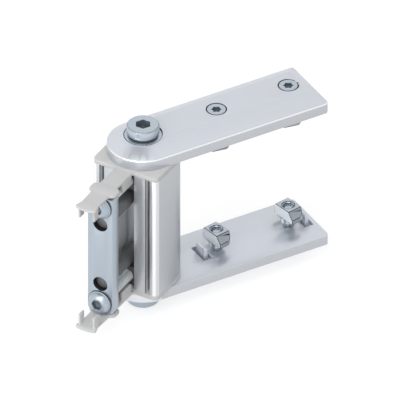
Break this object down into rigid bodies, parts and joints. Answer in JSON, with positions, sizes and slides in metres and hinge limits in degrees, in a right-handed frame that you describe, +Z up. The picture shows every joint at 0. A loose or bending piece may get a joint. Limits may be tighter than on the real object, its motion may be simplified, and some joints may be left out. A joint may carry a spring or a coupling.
{
  "type": "profile pivot joint",
  "caption": "Pivot joint for aluminium profile: parallel arms with hammer nuts swing on a clamped column about one vertical axis.",
  "frame": {"origin": "middle of the column's flat front, which meets the post", "axes": "+X from the post to the pivot, +Z up along the pivot axis, +Y to the left of +X"},
  "size_m": [0.1821, 0.099, 0.1278],
  "materials": {
    "column": "natural anodised extrusion",
    "arm": "fine satin silver",
    "cap": "light grey moulding",
    "zinc_steel": "bright zinc plate",
    "dark_steel": "blackened steel"
  },
  "bodies": {
    "column": {"column_profile": "column", "upper_end_cap": "cap", "upper_flange_bush": "zinc_steel", "upper_thrust_washer": "zinc_steel", "upper_pivot_screw": "zinc_steel", "upper_guide_pin": "dark_steel", "upper_square_nut": "dark_steel", "lower_end_cap": "cap", "lower_flange_bush": "zinc_steel", "lower_thrust_washer": "zinc_steel", "lower_pivot_screw": "zinc_steel", "lower_guide_pin": "dark_steel", "lower_square_nut": "dark_steel"},
    "clamp": {"clamp_bar": "zinc_steel", "upper_clamp_screw": "zinc_steel", "lower_clamp_screw": "zinc_steel"},
    "upper_arm": {"upper_arm": "arm", "upper_near_arm_screw": "zinc_steel", "upper_far_arm_screw": "zinc_steel"},
    "upper_near_nut": {"upper_near_hammer_nut": "zinc_steel"},
    "upper_far_nut": {"upper_far_hammer_nut": "zinc_steel"},
    "lower_arm": {"lower_arm": "arm", "lower_near_arm_screw": "zinc_steel", "lower_far_arm_screw": "zinc_steel"},
    "lower_near_nut": {"lower_near_hammer_nut": "zinc_steel"},
    "lower_far_nut": {"lower_far_hammer_nut": "zinc_steel"}
  },
  "joints": [
    {"name": "upper_arm_swing", "type": "hinge", "parent": "column", "child": "upper_arm", "pos_m": [0.0225, 0, 0.045], "axis": [0, 0, 1], "range_deg": [-60, 120]},
    {"name": "upper_near_nut_turn", "type": "hinge", "parent": "upper_arm", "child": "upper_near_nut", "pos_m": [0.06667, -0.0255, 0.0385], "axis": [0, 0, 1], "range_deg": [0, 100]},
    {"name": "upper_far_nut_turn", "type": "hinge", "parent": "upper_arm", "child": "upper_far_nut", "pos_m": [0.10997, -0.0505, 0.0385], "axis": [0, 0, 1], "range_deg": [0, 100]},
    {"name": "lower_arm_swing", "type": "hinge", "parent": "column", "child": "lower_arm", "pos_m": [0.0225, 0, -0.045], "axis": [0, 0, 1], "range_deg": [-60, 120]},
    {"name": "lower_near_nut_turn", "type": "hinge", "parent": "lower_arm", "child": "lower_near_nut", "pos_m": [0.06667, -0.0255, -0.0385], "axis": [0, 0, 1], "range_deg": [-100, 0]},
    {"name": "lower_far_nut_turn", "type": "hinge", "parent": "lower_arm", "child": "lower_far_nut", "pos_m": [0.10997, -0.0505, -0.0385], "axis": [0, 0, 1], "range_deg": [-100, 0]},
    {"name": "clamp_bar_slide", "type": "slide", "parent": "column", "child": "clamp", "axis": [1, 0, 0], "range_m": [-0.003, 0.003]}
  ],
  "couplings": [
    {"joint": "lower_arm_swing", "follows": "upper_arm_swing", "ratio": 1}
  ]
}
